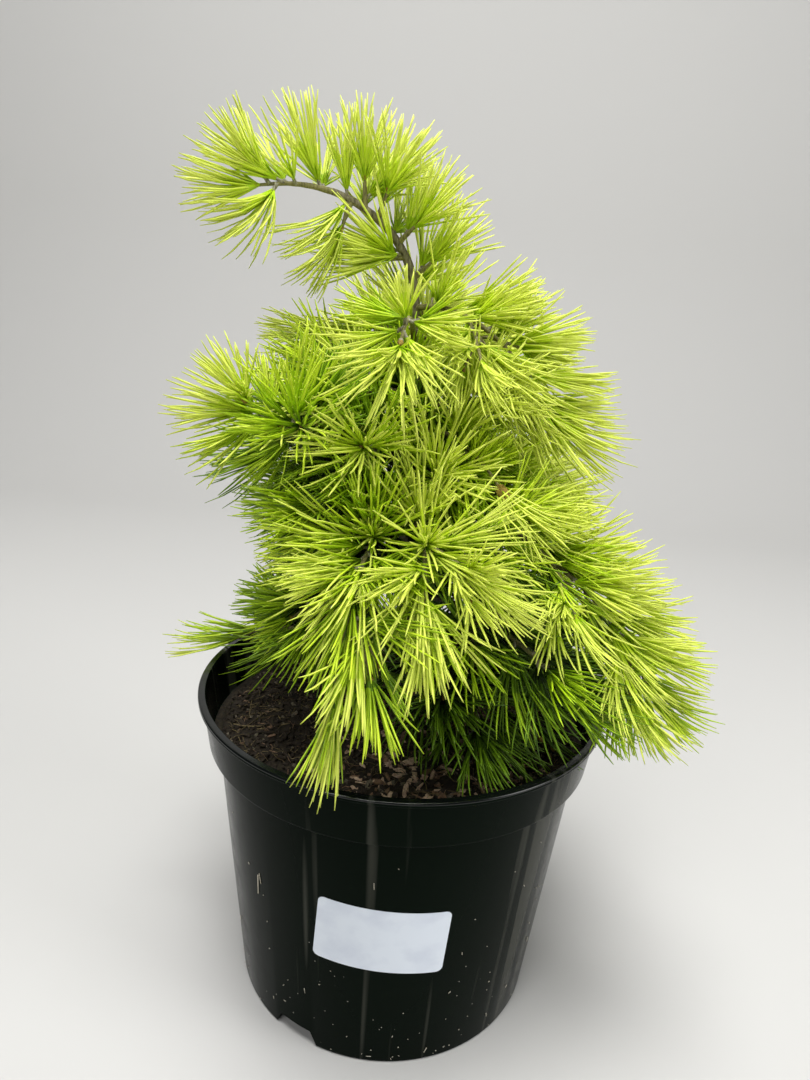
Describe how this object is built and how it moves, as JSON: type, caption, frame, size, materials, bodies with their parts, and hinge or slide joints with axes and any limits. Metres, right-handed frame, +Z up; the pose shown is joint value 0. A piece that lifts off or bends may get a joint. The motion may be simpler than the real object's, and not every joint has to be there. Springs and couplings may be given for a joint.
{
  "type": "potted deodar cedar",
  "caption": "Young golden deodar cedar with a nodding leader and drooping boughs of needle rosettes, in a round black nursery pot with a blank label.",
  "frame": {"origin": "centre of the flat underside of the pot", "axes": "+Z up; +Y from the labelled front of the plant to its back; +X to the right as seen from the front"},
  "size_m": [0.2709, 0.2771, 0.4503],
  "materials": {
    "pot_plastic": "gloss, moulded",
    "compost": "rough",
    "label_paper": "satin",
    "bark": "rough",
    "golden_needles": "satin",
    "green_needles": "satin"
  },
  "bodies": {
    "root": {"bough_back_low": "bark", "bough_back_mid": "bark", "bough_big_right": "bark", "bough_hanging_front_left": "bark", "bough_hanging_front_right": "bark", "bough_left": "bark", "bough_left_back": "bark", "bough_left_back_low": "bark", "bough_low_left": "bark", "bough_low_right": "bark", "bough_low_right_back": "bark", "bough_low_right_front": "bark", "bough_right_back": "bark", "bough_right_back_low": "bark", "label": "label_paper", "needles_back_low": "green_needles", "needles_back_mid": "golden_needles", "needles_big_right": "golden_needles", "needles_centre_front": "golden_needles", "needles_centre_right": "golden_needles", "needles_crest": "golden_needles", "needles_front_high": "golden_needles", "needles_front_right_mid": "golden_needles", "needles_front_star": "golden_needles", "needles_hanging_front_left": "golden_needles", "needles_hanging_front_right": "golden_needles", "needles_knee_left": "golden_needles", "needles_knee_right": "golden_needles", "needles_leader": "golden_needles", "needles_left": "golden_needles", "needles_left_back": "golden_needles", "needles_left_back_high": "golden_needles", "needles_left_back_low": "golden_needles", "needles_left_front": "golden_needles", "needles_left_high": "golden_needles", "needles_left_low": "golden_needles", "needles_left_mid": "golden_needles", "needles_low_front": "green_needles", "needles_low_left": "green_needles", "needles_low_right": "green_needles", "needles_low_right_back": "green_needles", "needles_low_right_front": "golden_needles", "needles_mid_right_star": "golden_needles", "needles_nod": "golden_needles", "needles_right_back": "golden_needles", "needles_right_back_high": "golden_needles", "needles_right_back_low": "golden_needles", "needles_right_high": "golden_needles", "needles_right_mid": "golden_needles", "needles_shoulder_right": "golden_needles", "needles_under_bow": "golden_needles", "needles_upper_back": "golden_needles", "needles_upper_front": "golden_needles", "needles_upper_left": "golden_needles", "needles_upper_right": "golden_needles", "pot": "pot_plastic", "soil": "compost", "trunk": "bark"}
  },
  "joints": []
}
